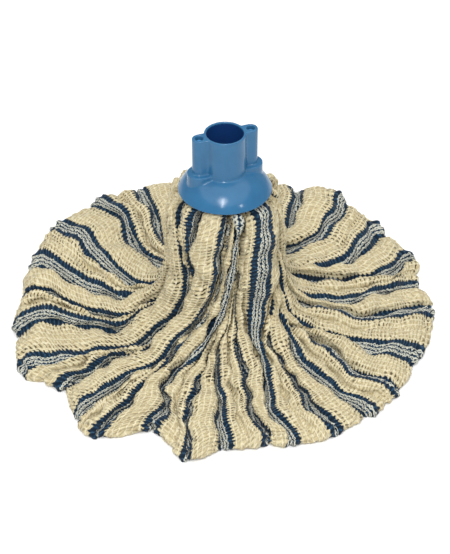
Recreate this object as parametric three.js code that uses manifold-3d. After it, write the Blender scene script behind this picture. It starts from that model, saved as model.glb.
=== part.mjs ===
// Socket mop head: a moulded push-fit socket, a press-in retaining clip and seven knitted loop bands.
// Millimetres, +Z up. The origin is on the floor, under the middle of the spread head's bounding box.
// X runs along the line of the socket's two side bosses, and so along the clip's bar.
// Every piece is made around the socket's own axis, which stands a little off the origin.

import * as THREE from 'three';
import { mergeVertices } from 'three/addons/utils/BufferGeometryUtils.js';
import Module from 'manifold-3d';

// ---------- driving dimensions ----------

const SOCKET_AXIS = { x: -2.6, y: -7.02 };

const TUBE_TOP_Z = 170.6;
const SKIRT_RIM_Z = 125.5;
const SKIRT_RADIUS = 32.4;
const TUBE_TOP_RADIUS = 14.45;
const TUBE_FOOT_RADIUS = 14.8;
const BORE_TOP_RADIUS = 12.75;
const BORE_FLOOR_RADIUS = 12.25;
const BORE_FLOOR_Z = 141.5;
const BORE_CHAMFER = 0.5;
const SKIRT_WALL = 2;
const RIM_LIP = { out: 0.5, height: 1 };
const DOME_SLOPE_TOP = 12;
const DOME_SLOPE_FOOT = 64;

const BOSS_OFFSET = 18.6;
const BOSS_RADIUS = 5;
const BOSS_HOLE_RADIUS = 2.8;
const BLOCK_RADIUS = 8.6;
const BLOCK_TOP_Z = TUBE_TOP_Z - 27.5;

const LEG_RADIUS = 2.2;
const LEG_SIDES = 12;
const LEG_TOP_Z = TUBE_TOP_Z - 2.4;
const BARB = { count: 3, radius: 2.5, tipRadius: 1.8, height: 1.6, pitch: 5, first: 6 };
const BAR = { halfLength: 21.4, halfWidth: 4, bottomZ: 112, topZ: 117.7, corner: 1.2 };

const BANDS = 7;
const BUNDLE_HALF_WIDTH = 14.6;
const BUNDLE_BOTTOM_Z = 118;
const BUNDLE_TOP_Z = 137.9;
const CORE_RADIUS = 6;
const RIM_RADIUS_FRONT = 143;
const RIM_RADIUS_BACK = 158;
const RIM_PATH_RADIUS = 157;
const FRONT_AZIMUTH = 249.5;
const CLIP_FAN = 0.5;
const CLIP_ZONE = { from: 114, to: 136 };
const FAN_ZONE = { from: 44, to: 138 };
const CORE_TURN = -8;
const GAP = 0.34;
const MOST_GAP = 0.2;
const CLIP_ROOM = 0.6;
const BAND_SLICES = 5;

const ROUND_STEPS = 48;
const SMALL_ROUND_STEPS = 16;
const DOME_STEPS = 7;
const MARGIN = 1;

// Each band hangs down as two tails. These are the edges between neighbouring tails, in degrees from +X, and the
// last edge is the first again. A tail with a narrow place on the bell is mostly tucked in behind the others.
const TAILS = 2 * BANDS;
const BELL_EDGES = [-10, -2, 28, 40, 80, 92, 128, 168, 208, 262, 279, 284, 338, 343, 350];
const RIM_EDGES = [-25, 1, 25, 53, 77, 100, 126, 155, 184, 208, 231, 255, 277, 303, 335];

// ---------- materials ----------

const SOCKET_BLUE = { color: '#4a86bc', roughness: 0.28, metalness: 0 };
const CLIP_BLUE = { color: '#3f77ad', roughness: 0.35, metalness: 0 };
const COTTON_CREAM = { color: '#d8cba4', roughness: 0.95, metalness: 0 };

// ---------- solid helpers ----------

const wasm = await Module();
wasm.setup();

function weldedPositions(geometry) {
  const bare = geometry.clone();
  bare.deleteAttribute('normal');
  bare.deleteAttribute('uv');
  return mergeVertices(bare, 1e-4);
}

function toSolid(geometry) {
  const welded = weldedPositions(geometry);
  const vertProperties = new Float32Array(welded.attributes.position.array);
  const triVerts = new Uint32Array(welded.index.array);
  return new wasm.Manifold(new wasm.Mesh({ numProp: 3, vertProperties, triVerts }));
}

function toGeometry(solid) {
  const { vertProperties, triVerts } = solid.getMesh();
  const geometry = new THREE.BufferGeometry();
  geometry.setAttribute('position', new THREE.BufferAttribute(new Float32Array(vertProperties), 3));
  geometry.setIndex(new THREE.BufferAttribute(new Uint32Array(triVerts), 1));
  geometry.computeVertexNormals();
  return geometry;
}

// A solid of revolution about Z, from [radius, z] points that start and end on the axis, lowest first.
function turned(points, steps = ROUND_STEPS) {
  const profile = points.map(([radius, z]) => new THREE.Vector2(radius, z));
  return new THREE.LatheGeometry(profile, steps).rotateX(Math.PI / 2);
}

function upright(radius, bottomZ, topZ, x, steps = SMALL_ROUND_STEPS) {
  const rod = turned([[0, bottomZ], [radius, bottomZ], [radius, topZ], [0, topZ]], steps);
  return rod.translate(x, 0, 0);
}

function block(x0, x1, halfY, z0, z1) {
  const box = new THREE.BoxGeometry(x1 - x0, 2 * halfY, z1 - z0);
  return box.translate((x0 + x1) / 2, 0, (z0 + z1) / 2);
}

function makeMesh(name, geometry, look) {
  const mesh = new THREE.Mesh(geometry, new THREE.MeshStandardMaterial(look));
  mesh.name = name;
  return mesh;
}

const smooth = (value) => THREE.MathUtils.smoothstep(value, 0, 1);
const radians = THREE.MathUtils.degToRad;

// ---------- socket ----------

// The dome is part of a ring of one radius, between its two stated slopes.
const domeFoot = { r: SKIRT_RADIUS, z: SKIRT_RIM_Z + RIM_LIP.height };
const domeRadius = (SKIRT_RADIUS - TUBE_FOOT_RADIUS)
  / (Math.sin(radians(DOME_SLOPE_FOOT)) - Math.sin(radians(DOME_SLOPE_TOP)));
const domeCentre = {
  r: domeFoot.r - domeRadius * Math.sin(radians(DOME_SLOPE_FOOT)),
  z: domeFoot.z - domeRadius * Math.cos(radians(DOME_SLOPE_FOOT)),
};

function domeArc(radius, slopeFrom, slopeTo) {
  return Array.from({ length: DOME_STEPS + 1 }, (_, i) => {
    const slope = radians(THREE.MathUtils.lerp(slopeFrom, slopeTo, i / DOME_STEPS));
    return [domeCentre.r + radius * Math.sin(slope), domeCentre.z + radius * Math.cos(slope)];
  });
}

function socketBody() {
  const lipRadius = SKIRT_RADIUS + RIM_LIP.out;
  return turned([
    [0, SKIRT_RIM_Z],
    [lipRadius, SKIRT_RIM_Z],
    [lipRadius, SKIRT_RIM_Z + RIM_LIP.height / 2],
    ...domeArc(domeRadius, DOME_SLOPE_FOOT, DOME_SLOPE_TOP),
    [TUBE_TOP_RADIUS, TUBE_TOP_Z],
    [0, TUBE_TOP_Z],
  ]);
}

function skirtCavity() {
  const inner = domeArc(domeRadius - SKIRT_WALL, DOME_SLOPE_FOOT, 0);
  const [mouthRadius] = inner[0];
  return turned([
    [0, SKIRT_RIM_Z - MARGIN],
    [mouthRadius, SKIRT_RIM_Z - MARGIN],
    ...inner,
    [0, inner.at(-1)[1]],
  ]);
}

function handleBore() {
  return turned([
    [0, BORE_FLOOR_Z],
    [BORE_FLOOR_RADIUS, BORE_FLOOR_Z],
    [BORE_TOP_RADIUS, TUBE_TOP_Z - BORE_CHAMFER],
    [BORE_TOP_RADIUS + BORE_CHAMFER, TUBE_TOP_Z],
    [BORE_TOP_RADIUS + BORE_CHAMFER, TUBE_TOP_Z + MARGIN],
    [0, TUBE_TOP_Z + MARGIN],
  ]);
}

// Each side has a tall boss for the clip's leg, a web to the tube, and a wider stepped block at its foot.
function sideBoss(side) {
  const x = side * BOSS_OFFSET;
  const inner = Math.min(0, x);
  const outer = Math.max(0, x);
  return toSolid(upright(BOSS_RADIUS, SKIRT_RIM_Z + 4, TUBE_TOP_Z, x))
    .add(toSolid(block(inner, outer, BOSS_RADIUS, SKIRT_RIM_Z + 4, TUBE_TOP_Z)))
    .add(toSolid(upright(BLOCK_RADIUS, SKIRT_RIM_Z + 4, BLOCK_TOP_Z, x, SMALL_ROUND_STEPS * 2)))
    .add(toSolid(block(inner, outer, BLOCK_RADIUS, SKIRT_RIM_Z + 4, BLOCK_TOP_Z)));
}

function bossHole(side) {
  const x = side * BOSS_OFFSET;
  return toSolid(upright(BOSS_HOLE_RADIUS, SKIRT_RIM_Z - MARGIN, TUBE_TOP_Z + MARGIN, x));
}

function makeSocket() {
  const solid = toSolid(socketBody())
    .add(sideBoss(1))
    .add(sideBoss(-1))
    .subtract(toSolid(skirtCavity()))
    .subtract(toSolid(handleBore()))
    .subtract(bossHole(1))
    .subtract(bossHole(-1));
  return makeMesh('socket', toGeometry(solid), SOCKET_BLUE);
}

// ---------- retaining clip ----------

function roundedBar() {
  const { halfLength, halfWidth, bottomZ, topZ, corner } = BAR;
  const outline = new THREE.Shape();
  const x = halfLength - halfWidth;
  outline.absarc(x, 0, halfWidth, -Math.PI / 2, Math.PI / 2);
  outline.absarc(-x, 0, halfWidth, Math.PI / 2, Math.PI * 1.5);
  const body = new THREE.ExtrudeGeometry(outline, {
    depth: topZ - bottomZ - 2 * corner,
    bevelSize: corner,
    bevelThickness: corner,
    bevelOffset: -corner,
    bevelSegments: 1,
    curveSegments: 6,
  });
  return body.translate(0, 0, bottomZ + corner);
}

// A leg rises from the bar into its boss and grips there with cone-shaped barbs.
function clipLeg(side) {
  const x = side * BOSS_OFFSET;
  let leg = toSolid(upright(LEG_RADIUS, BAR.topZ - 1, LEG_TOP_Z, x, LEG_SIDES));
  for (let i = 0; i < BARB.count; i += 1) {
    const z = LEG_TOP_Z - BARB.first - i * BARB.pitch;
    const top = z + BARB.height;
    const barb = turned([[0, z], [BARB.radius, z], [BARB.tipRadius, top], [0, top]], LEG_SIDES);
    leg = leg.add(toSolid(barb.translate(x, 0, 0)));
  }
  return leg;
}

function makeClip() {
  const solid = toSolid(roundedBar()).add(clipLeg(1)).add(clipLeg(-1));
  return makeMesh('retaining_clip', toGeometry(solid), CLIP_BLUE);
}

// ---------- knitted bands ----------

// Stations along the cloth, from the clip's bar down the bell and out to the rim. Each one gives the cloth's
// outer and inner point as [radius from the axis, z]; on the bar's own upright plane the radius is 0.
const STATIONS = [
  { outer: [0, BUNDLE_TOP_Z], inner: [0, BUNDLE_BOTTOM_Z] },
  { outer: [17, 135.4], inner: [5, BUNDLE_BOTTOM_Z] },
  { outer: [22.5, 131.8], inner: [CORE_RADIUS, 117] },
  { outer: [26.5, 128.2], inner: [CORE_RADIUS, 115] },
  { outer: [29.2, 124.4], inner: [CORE_RADIUS, 113] },
  { outer: [34.5, 124], inner: [CORE_RADIUS, 111] },
  { outer: [37, 120], inner: [CORE_RADIUS, 108] },
  { outer: [39.2, 114], inner: [CORE_RADIUS, 105] },
  { outer: [41, 108], inner: [CORE_RADIUS, 101] },
  { outer: [42.6, 101], inner: [CORE_RADIUS, 96] },
  { outer: [44, 92], inner: [CORE_RADIUS, 89] },
  { outer: [45.2, 80], inner: [CORE_RADIUS, 78] },
  { outer: [46, 60], inner: [CORE_RADIUS, 58] },
  { outer: [49, 43], inner: [CORE_RADIUS, 30] },
  { outer: [58, 34], inner: [CORE_RADIUS + 3, 0] },
  { outer: [75, 29], inner: [42, 0] },
  { outer: [100, 24], inner: [78, 0] },
  { outer: [128, 20], inner: [112, 0] },
  { outer: [148, 16], inner: [134, 0] },
  { outer: [155, 11], inner: [147, 0] },
  { outer: [RIM_PATH_RADIUS, 5], inner: [154, 0] },
];

// Where one line of the cloth lies among some edges. line counts tails, from 0 to 14.
function azimuthAmong(edges, line) {
  const tail = Math.min(Math.floor(line), TAILS - 1);
  return THREE.MathUtils.lerp(edges[tail], edges[tail + 1], line - tail);
}

function rimRadius(azimuth) {
  const towardsFront = (1 + Math.cos(radians(azimuth - FRONT_AZIMUTH))) / 2;
  return THREE.MathUtils.lerp(RIM_RADIUS_BACK, RIM_RADIUS_FRONT, towardsFront);
}

// The line leaves the clip's bar at startX. Its outer side fans out unevenly, and its inner side evenly.
function lineAt(line, { outer: [radius, z], inner: [innerRadius] }) {
  const evenAzimuth = (line * 360) / TAILS;
  const rimAzimuth = azimuthAmong(RIM_EDGES, line);
  const bellAzimuth = azimuthAmong(BELL_EDGES, line);
  const atClip = smooth((z - CLIP_ZONE.from) / (CLIP_ZONE.to - CLIP_ZONE.from));
  const onFloor = smooth((radius - FAN_ZONE.from) / (FAN_ZONE.to - FAN_ZONE.from));
  const inCore = 1 - smooth((innerRadius - CORE_RADIUS) / (FAN_ZONE.from - CORE_RADIUS));
  const side = line > BANDS ? 270 : 90;
  const clipAngle = THREE.MathUtils.lerp(side, evenAzimuth, CLIP_FAN);
  const fanAngle = THREE.MathUtils.lerp(bellAzimuth, rimAzimuth, onFloor);
  const coreAngle = THREE.MathUtils.lerp(fanAngle, evenAzimuth + CORE_TURN, inCore);
  const fromX = evenAzimuth > 180 ? 360 - evenAzimuth : evenAzimuth;
  return {
    outerAngle: radians(THREE.MathUtils.lerp(fanAngle, clipAngle, atClip)),
    innerAngle: radians(THREE.MathUtils.lerp(coreAngle, clipAngle, atClip)),
    startX: atClip * BUNDLE_HALF_WIDTH * (1 - fromX / 90),
    spread: THREE.MathUtils.lerp(1, rimRadius(rimAzimuth) / RIM_PATH_RADIUS, onFloor),
  };
}

function outerPoint({ outerAngle, startX, spread }, { outer: [radius, z] }) {
  const across = startX * Math.sin(outerAngle);
  const onBar = radius === 0;
  const reach = onBar ? 0 : Math.sqrt(radius ** 2 - across ** 2) - startX * Math.cos(outerAngle);
  return [startX + reach * spread * Math.cos(outerAngle), reach * spread * Math.sin(outerAngle), z];
}

function innerPoint({ innerAngle, startX, spread }, { inner: [radius, z] }) {
  const reach = radius * spread;
  return [startX + reach * Math.cos(innerAngle), reach * Math.sin(innerAngle), z];
}

// A point on a tail at one station. share runs across the tail, which keeps a gap to both of its neighbours.
function tailPoint(tail, share, station, sidePoint) {
  const pointAt = (line) => sidePoint(lineAt(line, station), station);
  const [x0, y0] = pointAt(tail);
  const [x1, y1] = pointAt(tail + 1);
  const gap = Math.min(GAP / Math.hypot(x1 - x0, y1 - y0), MOST_GAP);
  return pointAt(tail + THREE.MathUtils.lerp(gap, 1 - gap, share));
}

// One slice lengthwise through a band: up its far tail, over the bar, down its near tail, and back inside them.
function bandSlice(index, share) {
  const near = (sidePoint) => (station) => tailPoint(index, share, station, sidePoint);
  const far = (sidePoint) => (station) => tailPoint(TAILS - 1 - index, 1 - share, station, sidePoint);
  const outbound = STATIONS.slice(1).reverse();
  return [
    ...outbound.map(far(outerPoint)),
    ...STATIONS.map(near(outerPoint)),
    ...outbound.map(near(innerPoint)),
    ...STATIONS.map(far(innerPoint)),
  ];
}

// Both ends of a slice are closed by quads between each station's outer and inner points.
function endQuads(count) {
  return Array.from({ length: count / 2 - 1 }, (_, i) => [i, i + 1, count - 2 - i, count - 1 - i]);
}

// One band is a loop of knitted cloth: both of its tails and the part that the clip holds.
function bandGeometry(index) {
  const slices = Array.from({ length: BAND_SLICES }, (_, i) => bandSlice(index, i / (BAND_SLICES - 1)));
  const count = slices[0].length;
  const faces = [];
  const addQuad = (a, b, c, d) => faces.push(a, b, c, a, c, d);
  for (let i = 0; i < BAND_SLICES - 1; i += 1) {
    for (let j = 0; j < count; j += 1) {
      const next = (j + 1) % count;
      addQuad(i * count + j, i * count + next, (i + 1) * count + next, (i + 1) * count + j);
    }
  }
  const lastSlice = (BAND_SLICES - 1) * count;
  for (const [a, b, c, d] of endQuads(count)) {
    addQuad(a, d, c, b);
    addQuad(lastSlice + a, lastSlice + b, lastSlice + c, lastSlice + d);
  }
  const geometry = new THREE.BufferGeometry();
  geometry.setAttribute('position', new THREE.Float32BufferAttribute(slices.flat(2), 3));
  geometry.setIndex(faces);
  return geometry;
}

// The outermost bands pass round the clip's legs and the ends of its bar.
function clipClearance() {
  const bottomZ = BAR.bottomZ - CLIP_ROOM;
  const reach = BAR.halfLength + CLIP_ROOM;
  let space = toSolid(block(-reach, reach, BAR.halfWidth + CLIP_ROOM, bottomZ, BUNDLE_BOTTOM_Z - 0.05));
  for (const side of [-1, 1]) {
    const leg = upright(LEG_RADIUS + CLIP_ROOM, bottomZ, BUNDLE_TOP_Z + MARGIN, side * BOSS_OFFSET, LEG_SIDES);
    space = space.add(toSolid(leg));
  }
  return space;
}

function makeBand(index, space) {
  const solid = toSolid(bandGeometry(index)).subtract(space);
  return makeMesh(`knitted_band_${index + 1}`, toGeometry(solid), COTTON_CREAM);
}

// ---------- assembly ----------

const mopHead = new THREE.Group();
mopHead.add(makeSocket());
mopHead.add(makeClip());
const clearance = clipClearance();
for (let index = 0; index < BANDS; index += 1) {
  mopHead.add(makeBand(index, clearance));
}

mopHead.position.set(SOCKET_AXIS.x, SOCKET_AXIS.y, 0);

export default mopHead;
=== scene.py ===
"""Looks of the socket mop head: a glossy moulded socket, its clip and seven bands of striped knit."""

import math

import bmesh
import bpy
import numpy as np
from mathutils import Matrix, Vector


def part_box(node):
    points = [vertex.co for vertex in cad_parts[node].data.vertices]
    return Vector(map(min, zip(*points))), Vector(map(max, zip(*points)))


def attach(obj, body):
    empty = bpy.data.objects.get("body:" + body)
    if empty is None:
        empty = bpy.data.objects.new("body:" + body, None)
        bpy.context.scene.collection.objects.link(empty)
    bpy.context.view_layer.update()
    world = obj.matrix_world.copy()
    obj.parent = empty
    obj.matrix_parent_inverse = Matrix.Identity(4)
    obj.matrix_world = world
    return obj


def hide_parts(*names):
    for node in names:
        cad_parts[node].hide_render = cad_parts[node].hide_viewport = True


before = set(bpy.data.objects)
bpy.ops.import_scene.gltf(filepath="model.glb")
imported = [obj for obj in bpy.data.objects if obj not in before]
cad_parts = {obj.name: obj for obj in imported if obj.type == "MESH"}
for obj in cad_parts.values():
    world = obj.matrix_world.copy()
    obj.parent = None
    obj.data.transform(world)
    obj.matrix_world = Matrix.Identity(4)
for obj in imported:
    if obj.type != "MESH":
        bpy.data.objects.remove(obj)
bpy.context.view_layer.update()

# ---------- driving sizes, in millimetres and degrees ----------

MM = 0.001
TURN = 2 * math.pi
SOCKET_LOW, SOCKET_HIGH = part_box("socket")
CLIP_LOW, CLIP_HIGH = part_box("retaining_clip")
AXIS = (SOCKET_LOW + SOCKET_HIGH) / 2
TUBE_TOP_Z = SOCKET_HIGH.z / MM
SKIRT_RIM_Z = SOCKET_LOW.z / MM
SKIRT_RADIUS = (SOCKET_HIGH.x - SOCKET_LOW.x) / 2 / MM

BANDS = 7
TAILS = 2 * BANDS
CLOTH_WIDTH = 78.0
# The cloth's mesh: columns across a tail, and how far apart its rows are above and below.
COLUMNS = 100
UPPER_STEP = 0.7
LOWER_STEP = 3.0

# The knit: where the stripes lie across the cloth, their half widths, and the spacing of its stitches.
STRIPE_CENTRES = (19.5, 58.5)
LACE_HALF = 4.0
STRIPE_HALF = 7.7
WALE = 3.83
COURSE = 2.8
CHAIN_SPACING = 2.6
SLANT = 0.22
SIDEWAYS_WANDER = 0.3
LENGTHWAYS_WANDER = 0.8
# The knit's relief, and half the width over which one kind of stitch gives way to the next.
RUNG_HEIGHT = 0.3
CHAIN_HEIGHT = 0.22
NAVY_RUNG_HEIGHT = 0.27
CORD_HEIGHT = 0.35
CORD_RUNG_HEIGHT = 0.12
RELIEF_BLEND = 0.4

# The cloth's way from the clip to the rim. Each station gives the place of a fold's crest and of its
# valley, as (radius from the socket's axis, height).
UPPER_CREST = np.array([
    (16, 134), (24, 130), (28.4, 125.6), (34, 121.5), (38, 114.5), (40.5, 106), (42.3, 95), (43.6, 80),
    (44.6, 62), (47, 47), (53, 36), (64, 28.5), (80, 24), (100, 20), (122, 16.5), (138, 13), (148, 10),
    (154, 6.2), (155.5, 3.4), (152, 1.4),
], float)
UPPER_VALLEY = np.array([
    (6, 126), (13, 122), (19, 118), (23, 113), (25.5, 107), (27.5, 99), (29, 90), (30.5, 77),
    (32, 60), (36, 42), (43, 27), (58, 16), (77, 10), (98, 6.5), (120, 4.5), (137, 3.5), (146, 3.2),
    (150.5, 2.8), (151.5, 2), (149, 1.0),
], float)
# The underside lies flat on the floor, then rises in close pleats inside the bell to the clip.
LOWER_CREST = np.array([
    (140, 4.5), (110, 4.6), (80, 4.8), (50, 6), (34, 11), (26, 24), (24, 45), (23, 75),
    (21, 98), (15, 110), (5, 119),
], float)
LOWER_VALLEY = np.array([
    (140, 1.0), (110, 0.9), (80, 0.9), (50, 0.9), (28, 1.2), (12, 6), (8, 24), (6.5, 50),
    (6, 80), (5.5, 108), (4, 118),
], float)

# Azimuths from +X of the fold lines of each tail: under the skirt, low on the bell, and at five places
# from the bell's foot to the rim. "edge" is the tail's first edge, and the other two follow its stripes.
FOLD_STATIONS = (3.5, 8.0, 10.8, 12.0, 13.0, 14.2, 15.6)
TAIL_FOLDS = (
    {"edge": (-16, -29, -37, -34, -32, -29, -26),
     "first": (-14, -24, -25, -24.5, -23.5, -20, -16),
     "second": (-8, -15, -20.5, -17, -12.5, -7.5, -7)},
    {"edge": (-3, -6, -6, -7, -5, -2, 0),
     "first": (2, 2, 10, 2.5, 1, 3, 6),
     "second": (20, 14, 16, 10, 11, 15, 18)},
    {"edge": (27, 24, 24, 20, 20, 23, 26),
     "first": (32, 32, 34, 34, 29.5, 31, 33),
     "second": (38, 38, 42, 42, 42, 44, 47)},
    {"edge": (43, 43, 47, 48, 49, 51, 53),
     "first": (50, 50, 52, 54, 56, 58, 59),
     "second": (70, 70, 69, 69.5, 70, 70.5, 71)},
    {"edge": (76, 76, 76, 77, 77, 77, 77),
     "first": (83, 83, 84, 84.5, 85, 84, 83),
     "second": (90, 92, 100, 102, 101.5, 98.5, 97.5)},
    {"edge": (95, 98, 106, 108, 107, 104, 103),
     "first": (100, 104, 112, 114.5, 113, 109, 109),
     "second": (124, 135, 143, 138, 134, 129, 125.5)},
    {"edge": (128, 137, 146, 145, 141.5, 136, 132),
     "first": (132, 140, 150, 152, 150, 145, 140),
     "second": (152, 158, 164, 169.5, 163.5, 154.5, 151)},
    {"edge": (159, 162, 166.5, 172, 166, 157.5, 156),
     "first": (165, 166, 169, 174.5, 169, 162.5, 162),
     "second": (176, 205, 195, 195, 190, 183.5, 179.5)},
    {"edge": (194, 206.5, 195.8, 196, 192, 188, 185),
     "first": (212, 208, 196.6, 197, 194, 192, 190),
     "second": (254, 238, 214.5, 210.5, 207.5, 205, 204)},
    {"edge": (255, 240, 217, 214, 212, 209.5, 208),
     "first": (256, 242, 219, 218, 216.5, 213.5, 212),
     "second": (262.5, 247, 230, 222, 223.5, 226.5, 225)},
    {"edge": (269.5, 255, 235, 230, 231, 233, 233.5),
     "first": (270.5, 256, 238, 238, 238, 237, 238),
     "second": (272, 258, 244.5, 244.5, 248.5, 249.5, 248)},
    {"edge": (274, 260, 251, 252, 254, 255, 255),
     "first": (276, 262, 258, 260, 261, 261, 261.5),
     "second": (279, 266, 270, 270.5, 268, 267, 268)},
    {"edge": (336, 314, 276, 276, 275, 275, 275),
     "first": (338, 315.5, 281, 281, 281.5, 282.5, 282),
     "second": (339, 317, 297, 289.5, 292, 293, 294)},
    {"edge": (340, 319, 303.5, 299, 299, 299, 301),
     "first": (341, 321, 306.5, 306, 305, 305, 307),
     "second": (343, 326, 311, 314, 316.5, 320, 322)},
)
# How far fold lines lie from their usual places on the cloth, in millimetres: on the bell, at its foot
# and at the rim. It decides how much of a stripe shows on the side that is turned to the front.
LINE_SHIFTS = {
    (0, "first"): (0, 5, 5),
    (0, "second"): (0, -5, -2),
    (1, "first"): (0, 3, -5),
    (1, "second"): (0, -1, -6),
    (2, "first"): (0, 0, -6),
    (4, "second"): (0, -3, 1),
    (5, "first"): (0, 1, 6),
    (5, "second"): (0, 6, 6),
    (6, "first"): (0, 6, 6),
    (6, "second"): (0, 2, 0.5),
    (7, "first"): (0, 6, 6),
    (7, "second"): (2.5, -2, 4),
    (8, "first"): (5, 3, 3),
    (8, "second"): (5, 5, 5),
    (9, "first"): (10.5, 0, 0),
    (9, "second"): (-6, 0, 0),
    (10, "edge"): (-11, 0, 0),
    (10, "second"): (0, -3, -3),
    (11, "second"): (-13.5, -3, -3),
    (12, "second"): (-5, -4, -4),
    (13, "first"): (0, 7, 4),
    (13, "second"): (0, 2, -5),
}
# How far out each tail's two stripes reach at the rim.
RIM_REACH = (
    (156, 149), (164, 158), (163, 156), (150, 158), (154, 158), (160, 162), (154, 151), (153, 154),
    (131, 147), (147, 122), (144, 131), (127, 134), (138, 138), (143, 142),
)
VALLEY_RIM_RADIUS = 153.0
# Where the cloth is heaped up behind the socket: the heap's middle azimuth, the degrees to each side over
# which it is highest, the degrees over which it then falls, and how high it lies.
BACK_AZIMUTH = 88.0
BACK_HALF = 45.0
BACK_FALL = 45.0
BACK_LIFT = 21.0
# Where the cloth swells up around the skirt: azimuth, half width, and how far up. It moves out by
# SHOULDER_OUT of what it moves up.
SHOULDERS = ((128, 36, 7.5), (2, 24, 7.0))
SHOULDER_OUT = 1 / 3
# The stations between which a shoulder rises, and between which it falls again.
SHOULDER_RISE = (2.5, 3.7)
SHOULDER_FALL = (4.2, 7.7)
# How fold lines wander on the disc: wavelength, size, and how much the phase changes from line to line.
MEANDERS = ((92, 2.6, 0.7), (43, 1.3, 1.6), (24, 0.55, 2.0))
# The share by which each fold's height changes along it, and the least and longest wavelength.
HEIGHT_CHANGE = 0.16
HEIGHT_WAVELENGTHS = (60, 110)
WRINKLE_SIZE = 1.2
LUMP_SIZE = 0.22
RIM_LUMP = 2.3
RIM_LUMP_SPACING = 7.3
RIM_LOOSENESS = 2.0
WAVE_BENDS = 6
WAVE_BEND_SIZE = 0.7
EDGE_BLEND = 2.5
LEAST_FOLD_GAP = 0.25
MOST_HEIGHT = 1.12
USUAL_RATIO = 0.75
FLOOR_GAP = 0.3
# The bundle of cloth that the clip holds: its heights, its half depth, how much deeper it is below, how
# far it stays clear of the clip's ends, and the station from which the cloth is free of it.
BUNDLE_TOP_Z = 134.0
BUNDLE_BOTTOM_Z = 119.0
BUNDLE_HALF = 2.0
BUNDLE_SPREAD = 1.6
CLIP_END = 6.8
FREE_STATION = 2.4

rng = np.random.default_rng(11)


# ---------- small helpers ----------

def smooth(value):
    t = np.clip(value, 0, 1)
    return t * t * (3 - 2 * t)


def rise(value, low, high):
    """0 below low and 1 above high, smooth between."""
    return smooth((value - low) / (high - low))


def spline(x, knots, values):
    """A smooth curve through values at knots, as a function of x, held level outside them."""
    knots = np.asarray(knots, float)
    values = np.asarray(values, float)
    slopes = np.gradient(values, knots, axis=0)
    x = np.clip(x, knots[0], knots[-1])
    i = np.clip(np.searchsorted(knots, x, side="right") - 1, 0, len(knots) - 2)
    span = knots[i + 1] - knots[i]
    t = (x - knots[i]) / span
    if values.ndim > 1:
        t, span = t[:, None], span[:, None]
    start = (1 + 2 * t) * (1 - t) ** 2 * values[i] + t * (1 - t) ** 2 * span * slopes[i]
    end = t ** 2 * (3 - 2 * t) * values[i + 1] - t ** 2 * (1 - t) * span * slopes[i + 1]
    return start + end


def new_object(name, mesh):
    obj = bpy.data.objects.new(name, mesh)
    bpy.context.scene.collection.objects.link(obj)
    return obj


# ---------- how a fold of cloth stands ----------

STEEPEST = 1.62
FLATTEST = 0.35
VALLEY_TURN = 0.08
LONGEST_FLANK = 0.4
GRADES = np.linspace(0, 1, 64)
SHARES = np.linspace(0, 1, 193)


def fold_tables():
    """Across and up, per length of cloth, of folds by grade and share.

    A fold has a tight turn in its valley, then a flank and a round crest. The lower half of the grades
    steepens the flank, and the upper half lengthens it.
    """
    steep = np.interp(GRADES, (0, 0.5), (FLATTEST, STEEPEST))[:, None]
    flank = np.interp(GRADES, (0.5, 1), (VALLEY_TURN, LONGEST_FLANK))[:, None]
    crest = np.clip((0.5 - SHARES) / (0.5 - flank), -1, 1)
    valley = smooth(SHARES / VALLEY_TURN) * smooth((1 - SHARES) / VALLEY_TURN)
    slope = steep * crest * valley
    middle = (slope[:, 1:] + slope[:, :-1]) / 2
    start = np.zeros((len(GRADES), 1))
    across = np.hstack([start, np.cumsum(np.cos(middle), axis=1)]) * SHARES[1]
    up = np.hstack([start, np.cumsum(np.sin(middle), axis=1)]) * SHARES[1]
    return across, up


FOLD_ACROSS, FOLD_UP = fold_tables()
FOLD_RATIOS = FOLD_ACROSS[:, -1]


def fold_point(ratio, share):
    """Across as a share of the span, and height per length of cloth, of a point on a fold.

    ratio is the fold's span per length of cloth, and share is how far along its cloth the point lies.
    """
    row = np.interp(-ratio, -FOLD_RATIOS, np.arange(len(GRADES)))
    column = np.clip(share, 0, 1) * (len(SHARES) - 1)
    i = np.clip(row.astype(int), 0, len(GRADES) - 2)
    j = np.clip(column.astype(int), 0, len(SHARES) - 2)
    a, b = row - i, column - j

    def between(table):
        low = table[i, j] * (1 - b) + table[i, j + 1] * b
        high = table[i + 1, j] * (1 - b) + table[i + 1, j + 1] * b
        return low * (1 - a) + high * a

    full_span = np.interp(row, np.arange(len(GRADES)), FOLD_RATIOS)
    return between(FOLD_ACROSS) / full_span, between(FOLD_UP)


# ---------- the cloth's way ----------

ALL_CREST = np.vstack([UPPER_CREST, LOWER_CREST])
ALL_VALLEY = np.vstack([UPPER_VALLEY, LOWER_VALLEY])
STATIONS = np.arange(len(ALL_CREST))


def path_rows():
    """Station number and distance along the cloth of each row, from the clip to the rim and back."""
    fine = np.linspace(0, STATIONS[-1], 6000)
    middle = spline(fine, STATIONS, (ALL_CREST + ALL_VALLEY) / 2)
    length = np.concatenate([[0], np.cumsum(np.linalg.norm(np.diff(middle, axis=0), axis=1))])
    rim = np.interp(len(UPPER_CREST) - 1, fine, length)
    upper = np.linspace(0, rim, int(rim / UPPER_STEP) + 1)
    lower = np.linspace(rim, length[-1], int((length[-1] - rim) / LOWER_STEP) + 1)[1:]
    distance = np.concatenate([upper, lower])
    return np.interp(distance, length, fine), distance


STATION, DISTANCE = path_rows()
CREST = spline(STATION, STATIONS, ALL_CREST)
VALLEY = spline(STATION, STATIONS, ALL_VALLEY)
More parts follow.
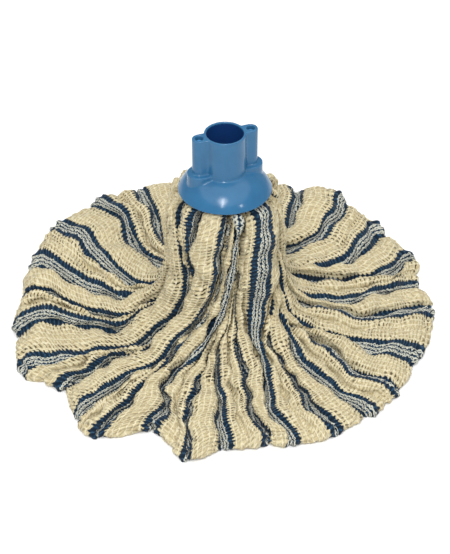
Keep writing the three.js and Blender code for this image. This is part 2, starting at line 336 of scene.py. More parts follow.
# How far each row is on the underside, out on the disc, toward the rim, on the disc's outer half and in
# the turn at the rim, from 0 to 1.
IS_LOWER = rise(STATION, len(UPPER_CREST) - 1.2, len(UPPER_CREST) - 0.4)
ON_DISC = rise(VALLEY[:, 0], 45, 95)
RIM_SHARE = rise(VALLEY[:, 0], 60, 145)
OUTER_HALF = rise(VALLEY[:, 0], 85, 135)
NEAR_RIM = (rise(STATION, 15.2, 16.4) * (1 - rise(STATION, 18.8, 19.4)))[:, None]
# From the valley to the crest of each row: how far, and which way.
FOLD_ROOM = np.linalg.norm(CREST - VALLEY, axis=1)
FOLD_WAY = (CREST - VALLEY) / FOLD_ROOM[:, None]


def all_folds():
    """Azimuth, place on the cloth and reach at the rim of every fold line by row, three lines a tail."""
    azimuths, places, reaches = [], [], []
    bell = 1 - ON_DISC
    for tail, folds in enumerate(TAIL_FOLDS):
        last_reach = RIM_REACH[tail - 1][1]
        reach = (0.5 * (last_reach + RIM_REACH[tail][0]) + 1.5, *RIM_REACH[tail])
        for number, kind in enumerate(("edge", "first", "second")):
            on_bell, at_foot, at_rim = LINE_SHIFTS.get((tail, kind), (0, 0, 0))
            on_disc = ON_DISC * (at_foot + (at_rim - at_foot) * OUTER_HALF)
            turned_by = np.degrees(on_disc * USUAL_RATIO / np.maximum(VALLEY[:, 0], 20))
            azimuths.append(spline(STATION, FOLD_STATIONS, folds[kind]) + turned_by)
            nominal = (0, *STRIPE_CENTRES)[number]
            places.append(tail * CLOTH_WIDTH + nominal + on_bell * bell + on_disc)
            reaches.append(1 + RIM_SHARE * (reach[number] / VALLEY_RIM_RADIUS - 1))
    azimuths, places, reaches = map(np.array, (azimuths, places, reaches))
    azimuths += meander(len(azimuths))
    steps = LEAST_FOLD_GAP * np.arange(len(azimuths))[:, None]
    azimuths = np.maximum.accumulate(azimuths - steps, axis=0) + steps
    closing = [azimuths[:1] + 360, places[:1] + TAILS * CLOTH_WIDTH, reaches[:1]]
    return [np.vstack([a, b]) for a, b in zip((azimuths, places, reaches), closing)]


def meander(count):
    """A slow wander of each fold line to either side, in degrees. Neighbours wander much alike."""
    wander = np.zeros((count, len(DISTANCE)))
    for wavelength, size, change in MEANDERS:
        phase = np.cumsum(rng.uniform(-change, change, (count, 1)), axis=0)
        wander += size * np.sin(TURN * DISTANCE[None, :] / wavelength + phase)
    return np.degrees(wander / np.maximum(VALLEY[:, 0], 12)) * ON_DISC


AZIMUTHS, PLACES, REACHES = all_folds()


def valley_levels():
    """How far each valley stays above the deepest one, so that folds beside it reach the outer surface.

    Folds that are pinched tight are tucked in between the others and don't count.
    """
    cloth = np.diff(PLACES, axis=0)
    reach = VALLEY[:, 0] + FOLD_WAY[:, 0] * FOLD_ROOM / 2
    ratio = np.radians(np.diff(AZIMUTHS, axis=0)) * reach / cloth
    height = fold_point(ratio, np.full_like(ratio, 0.5))[1] * cloth
    open_share = np.minimum(1, ratio / FOLD_RATIOS[-1]) ** 2
    before, open_before = np.roll(height, 1, axis=0), np.roll(open_share, 1, axis=0)
    most, least = np.maximum(open_share, open_before), open_share + open_before + 1e-6
    depth = (height * open_share + before * open_before) / least
    levels = np.maximum(FOLD_ROOM - depth, 0) * rise(most, 0.3, 0.9)
    return np.vstack([levels, levels[:1]])


def random_waves(count, wavelengths, headings):
    """Waves of the cloth, each a wavelength in millimetres, a heading and a phase in radians."""
    return [(rng.uniform(*wavelengths), rng.uniform(*headings), rng.uniform(0, TURN)) for _ in range(count)]


LEVELS = valley_levels()
HEIGHT_CHANGES = 1 + HEIGHT_CHANGE * np.sin(
    TURN * DISTANCE[None, :] / rng.uniform(*HEIGHT_WAVELENGTHS, (len(AZIMUTHS), 1))
    + rng.uniform(0, TURN, (len(AZIMUTHS), 1)))
WRINKLES = random_waves(9, wavelengths=(14, 42), headings=(-0.9, 0.9))
LUMPS = random_waves(8, wavelengths=(3.2, 7.5), headings=(0, np.pi))


def waves(place, v, waves_list, size):
    """Height of the sum of some waves of the cloth, in millimetres.

    Each wave fits the head's whole round a whole number of times, so that the last tail meets the first.
    """
    around = TURN * place / (TAILS * CLOTH_WIDTH)
    total = 0
    for wavelength, heading, phase in waves_list:
        turns = round(TAILS * CLOTH_WIDTH * math.sin(heading) / wavelength)
        along = TURN * v * math.cos(heading) / wavelength
        bend = WAVE_BEND_SIZE * np.sin(WAVE_BENDS * around)
        total = total + np.sin(along + turns * around + phase + bend)
    return total * size / math.sqrt(len(waves_list))


def rim_lumps(u, v):
    """How far the stripes' thick chains stand out where the cloth turns under at the rim."""
    on_stripe = smooth((STRIPE_HALF + 1 - stripe_distance(u)) / 4)
    return RIM_LUMP * NEAR_RIM * on_stripe * (0.6 + 0.4 * np.sin(TURN * v / RIM_LUMP_SPACING + u))


def back_lift(angle):
    """How much higher the rim lies behind the socket, where the cloth is heaped up."""
    off = np.abs((np.degrees(angle) - BACK_AZIMUTH + 180) % 360 - 180)
    share = 1 - smooth((off - BACK_HALF) / BACK_FALL)
    raised = RIM_SHARE * (1 - rise(STATION, 15.5, 19))
    return BACK_LIFT * share * raised[:, None]


def shoulder(angle):
    """How much the cloth just outside the skirt swells up at each of SHOULDERS, in millimetres."""
    rows = rise(STATION, *SHOULDER_RISE) * (1 - rise(STATION, *SHOULDER_FALL))
    total = 0
    for azimuth, half_width, height in SHOULDERS:
        off = np.abs((np.degrees(angle) - azimuth + 180) % 360 - 180)
        total = total + height * (1 - smooth(off / half_width))
    return total * rows[:, None]


# ---------- the knit's own relief ----------

WANDERS = random_waves(8, wavelengths=(18, 70), headings=(0, np.pi))


def knit_place(tail, u, v):
    """Where a place of the cloth lies in its own uneven pattern of wales and courses."""
    sideways, lengthways = 0, 0
    for number, (wavelength, heading, phase) in enumerate(WANDERS):
        along = v * math.cos(heading) + (tail * CLOTH_WIDTH + u) * math.sin(heading)
        wave = np.sin(TURN * along / wavelength + phase)
        if number % 2:
            sideways = sideways + SIDEWAYS_WANDER * wave
        else:
            lengthways = lengthways + LENGTHWAYS_WANDER * wave
    return u + sideways, v + lengthways


def stripe_distance(u):
    """How far a place across the cloth is from the middle of the nearer stripe."""
    return np.abs(np.abs(u - CLOTH_WIDTH / 2) - (STRIPE_CENTRES[1] - CLOTH_WIDTH / 2))


def knit_relief(u, v):
    """Height of the knit's surface: rungs and chain lines in the cream, cords in the stripes."""
    off = stripe_distance(u)
    slant = v + SLANT * u
    rung = np.cos(TURN * slant / COURSE)
    chain = np.cos(TURN * (off - STRIPE_HALF) / WALE)
    cream = rise(off, STRIPE_HALF - RELIEF_BLEND, STRIPE_HALF + RELIEF_BLEND)
    lace = 1 - rise(off, LACE_HALF - RELIEF_BLEND, LACE_HALF + RELIEF_BLEND)
    navy = 1 - cream - lace
    cords = np.cos(TURN * off / CHAIN_SPACING)
    puff = RUNG_HEIGHT * rung + CHAIN_HEIGHT * np.maximum(chain, 0)
    cord = CORD_HEIGHT * cords + CORD_RUNG_HEIGHT * rung
    return cream * puff + navy * NAVY_RUNG_HEIGHT * rung + lace * cord


# ---------- bands ----------

def clip_places(tail, u):
    """Where a tail's cloth lies in the clip's bundle, in millimetres from the socket's axis."""
    near = tail < BANDS
    band = tail if near else TAILS - 1 - tail
    across = u / CLOTH_WIDTH if near else 1 - u / CLOTH_WIDTH
    half = (CLIP_HIGH.x - CLIP_LOW.x) / 2 / MM - CLIP_END
    x = half - (band + across) * 2 * half / BANDS
    y = BUNDLE_HALF if near else -BUNDLE_HALF
    return x, np.full_like(x, y)


def folds_at(tail, place):
    """Number of the fold that each place of a tail's cloth lies in, row by row."""
    first = 3 * tail
    fold = first + sum((place >= PLACES[first + k][:, None]).astype(int) for k in (1, 2, 3))
    return np.minimum(fold, 3 * TAILS - 1)


def fold_shape(fold, place):
    """Azimuth in radians, height above the valley and reach of places on the cloth in their folds."""
    rows = np.arange(len(DISTANCE))[:, None]

    def ends(table):
        return table[fold, rows], table[fold + 1, rows]

    start_u, end_u = ends(PLACES)
    start_angle, end_angle = ends(AZIMUTHS)
    start_reach, end_reach = ends(REACHES)
    low, high = ends(LEVELS)
    cloth = end_u - start_u
    share = (place - start_u) / cloth
    height = FOLD_ROOM[:, None]
    half_out = VALLEY[:, :1] + FOLD_WAY[:, :1] * height * 0.5
    span = np.radians(end_angle - start_angle) * half_out
    across, up = fold_point(span / cloth, share)
    tucked = 1 - np.minimum(1, span / cloth / FOLD_RATIOS[-1])
    up = up * (1 - tucked * (1 - IS_LOWER[:, None]))
    stand = low + (high - low) * across + up * cloth * HEIGHT_CHANGES[fold, rows]
    stand = stand / (1 + (stand / (height * MOST_HEIGHT)) ** 4) ** 0.25
    angle = np.radians(start_angle + (end_angle - start_angle) * across)
    return angle, stand, start_reach + (end_reach - start_reach) * across


def tail_surface(tail):
    """Points of one tail, in millimetres from the socket's axis, and the cloth's own u and v."""
    u = np.linspace(0, CLOTH_WIDTH, COLUMNS + 1)[None, :]
    v = DISTANCE[:, None]
    place = tail * CLOTH_WIDTH + u
    angle, stand, reach = fold_shape(folds_at(tail, place), place)
    swell = shoulder(angle) * np.clip(stand / FOLD_ROOM[:, None], 0, 1)
    radius = (VALLEY[:, :1] + FOLD_WAY[:, :1] * stand) * reach + SHOULDER_OUT * swell
    z = VALLEY[:, 1:] + FOLD_WAY[:, 1:] * stand + back_lift(angle) + swell
    points = np.stack([radius * np.cos(angle), radius * np.sin(angle), z], axis=-1)
    return gather_to_clip(points, tail, u), np.broadcast_to(u, z.shape), np.broadcast_to(v, z.shape)


def gather_to_clip(points, tail, u):
    """Brings both ends of a tail to their place in the clip's bundle."""
    x, y = clip_places(tail, u)
    held = 1 - rise(STATION, 0, FREE_STATION)[:, None]
    back = rise(STATION, STATIONS[-3], STATIONS[-1])[:, None]
    top = np.stack(np.broadcast_arrays(x, y, BUNDLE_TOP_Z), axis=-1)
    bottom = np.stack(np.broadcast_arrays(x, BUNDLE_SPREAD * y, BUNDLE_BOTTOM_Z), axis=-1)
    points = points + (top - points) * held[..., None]
    return points + (bottom - points) * back[..., None]


def surface_normals(points):
    along = np.gradient(points, axis=0)
    across = np.gradient(points, axis=1)
    normal = np.cross(across, along)
    size = np.linalg.norm(normal, axis=-1, keepdims=True)
    return normal / np.maximum(size, 1e-9)


def outward_ways(points, inside):
    """Unit vectors out of the cloth, which at a tail's edges are its neighbour's too."""
    normal = surface_normals(points)
    normal = normal * np.sign(np.sum(normal[:, :, 2]))
    angle = np.arctan2(points[..., 1], points[..., 0])
    fold = np.stack([FOLD_WAY[:, :1] * np.cos(angle), FOLD_WAY[:, :1] * np.sin(angle),
                     np.broadcast_to(FOLD_WAY[:, 1:], angle.shape)], axis=-1)
    way = fold + (normal - fold) * inside[..., None]
    return way / np.linalg.norm(way, axis=-1, keepdims=True)


def knitted_tail(tail):
    points, u, v = tail_surface(tail)
    inside = smooth(np.minimum(u, CLOTH_WIDTH - u) / EDGE_BLEND)
    fine = ((1 - IS_LOWER) * rise(STATION, 1.5, 2.5))[:, None]
    knit_u, knit_v = knit_place(tail, u, v)
    place = tail * CLOTH_WIDTH + u
    relief = knit_relief(knit_u, knit_v) * inside + rim_lumps(u, v)
    relief = relief + waves(place, v, WRINKLES, WRINKLE_SIZE)
    relief = relief + waves(place, v, LUMPS, LUMP_SIZE) * (1 + RIM_LOOSENESS * NEAR_RIM)
    points = points + outward_ways(points, inside) * (relief * fine)[..., None]
    points[..., 2] = np.maximum(points[..., 2], FLOOR_GAP)
    return points, knit_u, knit_v


def band_mesh(name, near, far):
    """One loop of cloth: the near tail from the clip to the rim and back, then the far tail likewise."""
    near_points, near_u, near_v = knitted_tail(near)
    far_points, far_u, far_v = knitted_tail(far)
    points = np.concatenate([near_points, far_points[::-1, ::-1]])
    u = np.concatenate([near_u, CLOTH_WIDTH - far_u[:, ::-1][::-1]])
    v = np.concatenate([near_v, 2 * near_v[-1] + COURSE - far_v[::-1]])
    rows, columns = points.shape[:2]
    index = np.arange(rows * columns).reshape(rows, columns)
    below = np.roll(index, -1, axis=0)
    quads = np.stack([index[:, :-1], index[:, 1:], below[:, 1:], below[:, :-1]], axis=-1).reshape(-1, 4)
    flat = points.reshape(-1, 3) * MM
    flat[:, 0] += AXIS.x
    flat[:, 1] += AXIS.y
    mesh = bpy.data.meshes.new(name)
    mesh.from_pydata(flat.tolist(), [], quads.tolist())
    cloth = mesh.attributes.new("cloth", "FLOAT_VECTOR", "POINT")
    values = np.stack([u, v, np.full_like(u, near)], axis=-1).astype(np.float32)
    cloth.data.foreach_set("vector", values.ravel())
    mesh.shade_smooth()
    return mesh


def make_band(number, material):
    mesh = band_mesh(f"band_{number}", number - 1, TAILS - number)
    band = new_object(f"striped_knit_band_{number}", mesh)
    band.data.materials.append(material)
    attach(band, "root")
    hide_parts(f"knitted_band_{number}")
    return band


# ---------- materials ----------

LACE_COURSE = 4.6
RAGGED = 2.6


class Shader:
    """A small helper to write node trees as expressions."""

    def __init__(self, name):
        self.material = bpy.data.materials.new(name)
        self.material.use_nodes = True
        self.tree = self.material.node_tree
        self.shader = self.tree.nodes["Principled BSDF"]

    def put(self, socket, value):
        if isinstance(value, bpy.types.NodeSocket):
            self.tree.links.new(value, socket)
        else:
            socket.default_value = value

    def node(self, kind, **inputs):
        made = self.tree.nodes.new(kind)
        for key, value in inputs.items():
            self.put(made.inputs[key], value)
        return made

    def math(self, operation, a, b=0.0, c=0.0):
        made = self.tree.nodes.new("ShaderNodeMath")
        made.operation = operation
        for socket, value in zip(made.inputs, (a, b, c)):
            self.put(socket, value)
        return made.outputs[0]

    def step(self, value, low, high):
        """0 below low and 1 above high, smooth between."""
        made = self.tree.nodes.new("ShaderNodeMapRange")
        made.interpolation_type = "SMOOTHSTEP"
        self.put(made.inputs["Value"], value)
        made.inputs["From Min"].default_value = low
        made.inputs["From Max"].default_value = high
        return made.outputs["Result"]

    def mix(self, share, a, b):
        made = self.tree.nodes.new("ShaderNodeMix")
        made.data_type = "RGBA"
        self.put(made.inputs[0], share)
        self.put(made.inputs[6], a)
        self.put(made.inputs[7], b)
        return made.outputs[2]

    def place(self, x, y):
        return self.node("ShaderNodeCombineXYZ", X=x, Y=y).outputs["Vector"]

    def noise(self, vector, scale, detail=2.0):
        made = self.node("ShaderNodeTexNoise", Vector=vector)
        made.inputs["Scale"].default_value = scale
        made.inputs["Detail"].default_value = detail
        return made.outputs["Fac"]

    def bump(self, height, strength, distance):
        made = self.node("ShaderNodeBump", Height=height)
        made.inputs["Strength"].default_value = strength
        made.inputs["Distance"].default_value = distance
        self.put(self.shader.inputs["Normal"], made.outputs["Normal"])


def linear(red, green, blue):
    """Scene colour of an 8-bit sRGB colour."""
    def channel(value):
        value /= 255
        return value / 12.92 if value <= 0.04045 else ((value + 0.055) / 1.055) ** 2.4
    return (channel(red), channel(green), channel(blue), 1.0)


CREAM = linear(193, 182, 146)
CREAM_DARK = linear(180, 165, 128)
CREAM_LIGHT = linear(214, 207, 179)
CREAM_SHADE = linear(84, 72, 50)
GAP_SHADE = linear(46, 38, 27)
NAVY = linear(15, 37, 55)
# Lighter navy for random specks and for painted highlight on the rung crests, and darker navy for painted
# shade in the rung valleys.
NAVY_SPECK_AND_HIGHLIGHT = linear(46, 78, 104)
NAVY_PAINTED_SHADE = linear(6, 16, 28)
LACE_WHITE = linear(188, 188, 174)


def knit_material():
    s = Shader("striped_knit")
    m = s.math
    cloth = s.tree.nodes.new("ShaderNodeAttribute")
    cloth.attribute_name = "cloth"
    place = cloth.outputs["Vector"]
    split = s.node("ShaderNodeSeparateXYZ", Vector=place)
    u, v = split.outputs["X"], split.outputs["Y"]
    fuzz = s.noise(place, 1.3, 3.0)
    uneven = s.noise(place, 0.35, 1.0)
    patch = s.noise(place, 0.035, 2.0)
    ragged = s.noise(place, 0.5, 2.0)
    u = m("ADD", u, m("MULTIPLY_ADD", ragged, RAGGED, -RAGGED / 2))
    v = m("ADD", v, m("MULTIPLY_ADD", uneven, RAGGED, -RAGGED / 2))
    from_middle = m("ABSOLUTE", m("SUBTRACT", u, CLOTH_WIDTH / 2))
    off = m("ABSOLUTE", m("SUBTRACT", from_middle, STRIPE_CENTRES[1] - CLOTH_WIDTH / 2))
    slant = m("MULTIPLY_ADD", u, SLANT, v)
    rung = m("COSINE", m("MULTIPLY", slant, TURN / COURSE))
    thread = s.noise(s.place(m("MULTIPLY", u, 0.3), slant), 1.15, 2.0)

    tooth = m("MULTIPLY", m("MULTIPLY", rung, 1.05), m("MULTIPLY_ADD", uneven, 1.6, -0.3))
    edge = m("ADD", m("ADD", off, tooth), m("MULTIPLY_ADD", fuzz, 1.8, -0.9))
    in_stripe = m("SUBTRACT", 1.0, s.step(edge, STRIPE_HALF - 0.3, STRIPE_HALF + 0.3))
    in_lace = m("SUBTRACT", 1.0, s.step(off, LACE_HALF - 0.1, LACE_HALF + 0.2))

    # Painted shade darkens the navy in the rung valleys; lighter navy goes on random specks and, as painted
    # highlight, on the rung crests.
    navy = s.mix(m("MULTIPLY", s.step(rung, -0.2, -0.9), 0.5), NAVY, NAVY_PAINTED_SHADE)
    navy = s.mix(s.step(m("MULTIPLY_ADD", rung, 0.3, fuzz), 0.6, 0.95), navy, NAVY_SPECK_AND_HIGHLIGHT)
    colour = s.mix(in_stripe, cream_colour(s, off, rung, fuzz, uneven, patch, thread), navy)
    strand = lace_strands(s, off, v, fuzz)
    colour = s.mix(m("MULTIPLY", in_lace, strand), colour, LACE_WHITE)
    s.put(s.shader.inputs["Base Color"], colour)
    s.shader.inputs["Roughness"].default_value = 0.95
    s.shader.inputs["Sheen Weight"].default_value = 0.1
    s.shader.inputs["Sheen Roughness"].default_value = 0.5
    s.shader.inputs["Specular IOR Level"].default_value = 0.15
    height = m("ADD", m("MULTIPLY", rung, 0.5), m("ADD", fuzz, m("MULTIPLY", strand, in_lace)))
    s.bump(height, 0.6, 0.0005)
    return s.material


def cream_colour(s, off, rung, fuzz, uneven, patch, thread):
    """Light chain lines over slanting rungs, with dark gaps between rungs, mostly beside the stripes."""
    m = s.math
    chain = m("COSINE", m("MULTIPLY", m("SUBTRACT", off, STRIPE_HALF + WALE / 2), TURN / WALE))
    chain_line = s.step(m("ADD", chain, m("MULTIPLY_ADD", fuzz, 0.5, -0.25)), 0.78, 0.97)
    between = s.step(m("MULTIPLY", chain, -1.0), -0.55, -0.05)
    gap = m("MULTIPLY", s.step(m("MULTIPLY", rung, -1.0), 0.25, 0.6), between)
    beside = m("SUBTRACT", 1.0, s.step(off, STRIPE_HALF + 2.0, STRIPE_HALF + 9.0))
    open_knit = m("MAXIMUM", m("MULTIPLY", beside, s.step(patch, 0.4, 0.52)), s.step(patch, 0.54, 0.62))
    gap = m("MULTIPLY", gap, m("MULTIPLY_ADD", open_knit, 0.95, 0.05))
    gap = m("MULTIPLY", gap, s.step(m("ADD", uneven, fuzz), 0.7, 0.95))
    colour = s.mix(s.step(uneven, 0.35, 0.65), CREAM, CREAM_DARK)
    colour = s.mix(m("MULTIPLY", s.step(thread, 0.5, 0.66), 0.75), colour, CREAM_LIGHT)
    colour = s.mix(m("MULTIPLY", s.step(thread, 0.46, 0.34), 0.3), colour, CREAM_SHADE)
    low_rung = s.step(m("MULTIPLY", rung, -1.0), 0.2, 0.9)
    colour = s.mix(m("MULTIPLY", low_rung, 0.28), colour, CREAM_SHADE)
    colour = s.mix(m("MULTIPLY", chain_line, 0.7), colour, CREAM_LIGHT)
    beyond_stripe = s.step(off, STRIPE_HALF + 1.6, STRIPE_HALF + 2.6)
    return s.mix(gap, colour, s.mix(beyond_stripe, NAVY, GAP_SHADE))


def lace_strands(s, off, v, fuzz):
    """1 on the strands of the stripe's three chains, each of two strands wound about each other."""
    m = s.math
    swing = m("MULTIPLY", m("SINE", m("MULTIPLY", v, TURN / LACE_COURSE)), 0.24 * CHAIN_SPACING)
    cell = m("WRAP", off, CHAIN_SPACING / 2, -CHAIN_SPACING / 2)
    thick = m("MULTIPLY_ADD", fuzz, 0.5, 0.1)
    strands = []
    for side in (1.0, -1.0):
        away = m("ABSOLUTE", m("MULTIPLY_ADD", swing, side, cell))
        strands.append(m("SUBTRACT", 1.0, s.step(m("SUBTRACT", away, thick), -0.15, 0.15)))
    return m("MAXIMUM", *strands)


def plastic_material(name, colour, dark, roughness):
    s = Shader(name)
    place = s.tree.nodes.new("ShaderNodeTexCoord").outputs["Object"]
    cloudy = s.noise(place, 60, 3.0)
    fine = s.noise(place, 900, 2.0)
    base = s.mix(s.step(cloudy, 0.3, 0.75), colour, dark)
    s.put(s.shader.inputs["Base Color"], base)
    s.put(s.shader.inputs["Roughness"], s.math("MULTIPLY_ADD", cloudy, 0.12, roughness - 0.06))
    s.shader.inputs["Specular IOR Level"].default_value = 0.35
    s.shader.inputs["IOR"].default_value = 1.49
    s.shader.inputs["Subsurface Weight"].default_value = 0.06
    s.shader.inputs["Subsurface Radius"].default_value = (0.2, 0.5, 1.0)
    s.shader.inputs["Subsurface Scale"].default_value = 0.002
    s.bump(fine, 0.05, 0.0001)
    return s.material


# ---------- socket and clip ----------

TUBE_TOP_RADIUS = 14.45
TUBE_FOOT_RADIUS = 14.8
BORE_TOP_RADIUS = 12.75
BORE_FLOOR_RADIUS = 12.25
BORE_FLOOR_Z = 141.5
SKIRT_WALL = 2.0
DOME_SLOPES = (64, 12)
LIP_HEIGHT = 1.0
LIP_OUT = 0.5
BOSS_OFFSET = 18.6
BOSS_RADIUS = 5.0
BOSS_HOLE_RADIUS = 2.8
# The painted shade in the bore starts this far below the tube's top, and reaches this far into its wall.
BORE_SHADE_BELOW_TOP = 1.2
BORE_SHADE_REACH = 0.3
BLOCK_RADIUS = 8.6
BLOCK_TOP_Z = TUBE_TOP_Z - 27.5
FOOT_Z = SKIRT_RIM_Z + 4
SOCKET_VOXEL = 0.55
CLIP_VOXEL = 0.4


def dome_arc(radius_change, slope_from, slope_to, steps=24):
    """Points of the dome's outline, part of a circle that meets the skirt's foot and the tube."""
    foot_slope, top_slope = map(math.radians, DOME_SLOPES)
    skirt = SKIRT_RADIUS - LIP_OUT
    radius = (skirt - TUBE_FOOT_RADIUS) / (math.sin(foot_slope) - math.sin(top_slope))
    centre_r = skirt - radius * math.sin(foot_slope)
    centre_z = SKIRT_RIM_Z + LIP_HEIGHT - radius * math.cos(foot_slope)
    radius += radius_change
    slopes = np.radians(np.linspace(slope_from, slope_to, steps))
    return [(centre_r + radius * math.sin(a), centre_z + radius * math.cos(a)) for a in slopes]


def turned(outline, steps=160, x=0.0):
    """A closed solid of revolution about an upright line, as a new object, from (radius, z) points."""
    shape = bmesh.new()
    rings = []
    angles = [TURN * i / steps for i in range(steps)]
    for radius, z in outline:
        ways = angles if radius > 0 else [0]
        rings.append([
            shape.verts.new(((x + radius * math.cos(a)) * MM, radius * math.sin(a) * MM, z * MM))
            for a in ways
        ])
    for low, high in zip(rings, rings[1:]):
        for i in range(steps):
            lower = [low[i % len(low)], low[(i + 1) % len(low)]]
            upper = [high[(i + 1) % len(high)], high[i % len(high)]]
            shape.faces.new(list(dict.fromkeys(lower + upper)))
    return finish_solid(shape)


def upright(radius, bottom, top, x, steps=96):
    return turned([(0, bottom), (radius, bottom), (radius, top), (0, top)], steps, x)


def block(x, half_y, bottom, top):
    """A block from the axis to x."""
    shape = bmesh.new()
    size = Matrix.Diagonal((abs(x) * MM, 2 * half_y * MM, (top - bottom) * MM, 1))
    place = Matrix.Translation((x / 2 * MM, 0, (top + bottom) / 2 * MM))
    bmesh.ops.create_cube(shape, size=1, matrix=place @ size)
    return finish_solid(shape)


def finish_solid(shape):
    bmesh.ops.recalc_face_normals(shape, faces=shape.faces)
    mesh = bpy.data.meshes.new("solid")
    shape.to_mesh(mesh)
    shape.free()
    return new_object("solid", mesh)


def apply_modifiers(obj):
    graph = bpy.context.evaluated_depsgraph_get()
    made = bpy.data.meshes.new_from_object(obj.evaluated_get(graph))
    obj.modifiers.clear()
    obj.data = made


def combine(target, others, operation):
    for other in others:
        modifier = target.modifiers.new(operation, "BOOLEAN")
        modifier.operation = operation
        modifier.solver = "EXACT"
        modifier.object = other
    apply_modifiers(target)
    for other in others:
        bpy.data.objects.remove(other)


def soften(obj, voxel, passes):
    """Turns a sharp solid into an even mesh with small rounded edges, as a moulding has."""
    remesh = obj.modifiers.new("remesh", "REMESH")
    remesh.mode = "VOXEL"
    remesh.voxel_size = voxel * MM
    relax = obj.modifiers.new("relax", "SMOOTH")
    relax.factor = 0.5
    relax.iterations = passes
    apply_modifiers(obj)
    obj.data.shade_smooth()


def side_pieces(side):
    """One side's boss and block, each with the web that joins it to the tube."""
    x = side * BOSS_OFFSET
    return [
        upright(BOSS_RADIUS, FOOT_Z, TUBE_TOP_Z, x),
        block(x, BOSS_RADIUS, FOOT_Z, TUBE_TOP_Z),
        upright(BLOCK_RADIUS, FOOT_Z, BLOCK_TOP_Z, x),
        block(x, BLOCK_RADIUS, FOOT_Z, BLOCK_TOP_Z),
    ]


def in_bore_shade(point):
    """Whether a point, in millimetres from the axis, is inside the handle's bore, where shade is painted.
    """
    if point.z > TUBE_TOP_Z - BORE_SHADE_BELOW_TOP or point.z < BORE_FLOOR_Z - 1:
        return False
    return math.hypot(point.x, point.y) < BORE_TOP_RADIUS + BORE_SHADE_REACH


def make_socket():
    body = turned([
        (0, SKIRT_RIM_Z), (SKIRT_RADIUS, SKIRT_RIM_Z), (SKIRT_RADIUS, SKIRT_RIM_Z + LIP_HEIGHT / 2),
        *dome_arc(0, *DOME_SLOPES), (TUBE_TOP_RADIUS, TUBE_TOP_Z), (0, TUBE_TOP_Z),
    ])
    cavity = dome_arc(-SKIRT_WALL, DOME_SLOPES[0], 0)
    mouth = cavity[0][0]
    combine(body, side_pieces(1) + side_pieces(-1), "UNION")
    combine(body, [
        turned([(0, SKIRT_RIM_Z - 1), (mouth, SKIRT_RIM_Z - 1), *cavity, (0, cavity[-1][1])]),
        turned([(0, BORE_FLOOR_Z), (BORE_FLOOR_RADIUS, BORE_FLOOR_Z), (BORE_TOP_RADIUS, TUBE_TOP_Z + 1),
                (0, TUBE_TOP_Z + 1)]),
        upright(BOSS_HOLE_RADIUS, SKIRT_RIM_Z - 1, TUBE_TOP_Z + 1, BOSS_OFFSET),
        upright(BOSS_HOLE_RADIUS, SKIRT_RIM_Z - 1, TUBE_TOP_Z + 1, -BOSS_OFFSET),
    ], "DIFFERENCE")
    soften(body, SOCKET_VOXEL, 8)
    body.name = "moulded_socket"
    body.location = (AXIS.x, AXIS.y, 0)
    body.data.materials.append(
        plastic_material("socket_blue", linear(46, 100, 138), linear(41, 93, 131), 0.18))
    # The second slot, a darker and rougher blue, is painted shade on the faces of the deep bore.
    body.data.materials.append(
        plastic_material("bore_painted_shade", linear(2, 50, 106), linear(2, 46, 100), 0.6))
    # Faces inside the bore get the painted shade.
    for face in body.data.polygons:
        face.material_index = int(in_bore_shade(face.center / MM))
    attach(body, "root")
    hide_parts("socket")
    return body


def make_clip():
    clip = new_object("moulded_clip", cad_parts["retaining_clip"].data.copy())
    clip.data.materials.clear()
    soften(clip, CLIP_VOXEL, 3)
    clip.data.materials.append(
        plastic_material("clip_blue", linear(70, 132, 184), linear(60, 120, 172), 0.32))
    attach(clip, "root")
    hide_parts("retaining_clip")
    return clip


# ---------- floor, light and camera ----------

VIEW_AZIMUTH = -20.5
VIEW_ELEVATION = 38.5
VIEW_DISTANCE = 1.2305
TARGET_BEYOND = 0.0582
LENS = 103.9
FLOOR_HALF = 6.0


def toward(azimuth, elevation):
    """The direction from the object to a place that sees it from this azimuth and elevation."""
    a, e = math.radians(azimuth), math.radians(elevation)
    return Vector((math.sin(a) * math.cos(e), -math.cos(a) * math.cos(e), math.sin(e)))


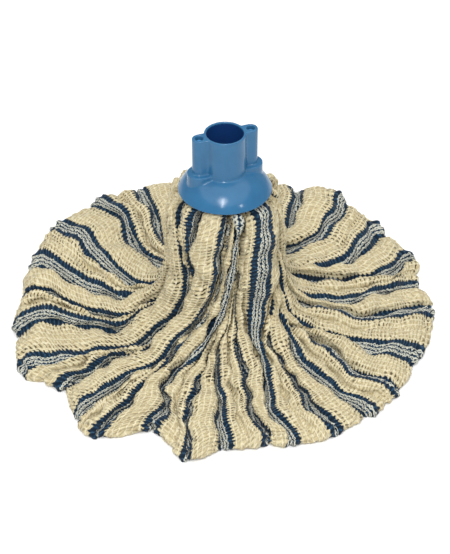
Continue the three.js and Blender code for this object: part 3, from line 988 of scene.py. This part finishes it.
def make_camera():
    data = bpy.data.cameras.new("camera")
    data.lens = LENS
    data.sensor_width = 36
    camera = new_object("camera", data)
    target = Vector((AXIS.x, AXIS.y, 0)) - toward(VIEW_AZIMUTH, 0) * TARGET_BEYOND
    back = toward(VIEW_AZIMUTH, VIEW_ELEVATION)
    camera.location = target + back * VIEW_DISTANCE
    camera.rotation_mode = "QUATERNION"
    camera.rotation_quaternion = (-back).to_track_quat("-Z", "Y")
    data.clip_start, data.clip_end = 0.1, 50
    bpy.context.scene.camera = camera


def area_light(name, azimuth, elevation, distance, size, power):
    """A soft light that faces the object. Its size is (across, upright)."""
    data = bpy.data.lights.new(name, "AREA")
    data.shape = "ELLIPSE"
    data.size, data.size_y = size
    data.energy = power
    lamp = new_object(name, data)
    back = toward(azimuth, elevation)
    lamp.location = back * distance
    lamp.rotation_mode = "QUATERNION"
    lamp.rotation_quaternion = back.to_track_quat("Z", "Y")


def make_studio():
    world = bpy.data.worlds.new("studio")
    world.use_nodes = True
    world.node_tree.nodes["Background"].inputs["Color"].default_value = (1, 1, 1, 1)
    world.node_tree.nodes["Background"].inputs["Strength"].default_value = 0.42
    bpy.context.scene.world = world
    bpy.context.scene.view_settings.view_transform = "Standard"
    area_light("overhead", VIEW_AZIMUTH, 84, 2.6, (5, 5), 84)
    area_light("glow", VIEW_AZIMUTH - 8, 56, 2.2, (0.7, 0.9), 12)
    area_light("key", VIEW_AZIMUTH - 7, 50, 2.2, (0.045, 1.1), 12)
    area_light("spark", VIEW_AZIMUTH + 42, 34, 2.2, (0.05, 0.05), 3.2)

    floor_mesh = bpy.data.meshes.new("floor")
    corners = [(-1, -1), (1, -1), (1, 1), (-1, 1)]
    floor_mesh.from_pydata([(x * FLOOR_HALF, y * FLOOR_HALF, 0) for x, y in corners], [], [(0, 1, 2, 3)])
    floor = new_object("floor", floor_mesh)
    s = Shader("pale_floor")
    s.shader.inputs["Base Color"].default_value = (0.93, 0.93, 0.93, 1)
    s.shader.inputs["Roughness"].default_value = 0.9
    floor.data.materials.append(s.material)
    return floor


# ---------- assembly ----------

make_camera()
floor = make_studio()
make_socket()
make_clip()
knit = knit_material()
for band_number in range(1, BANDS + 1):
    knitted = make_band(band_number, knit)
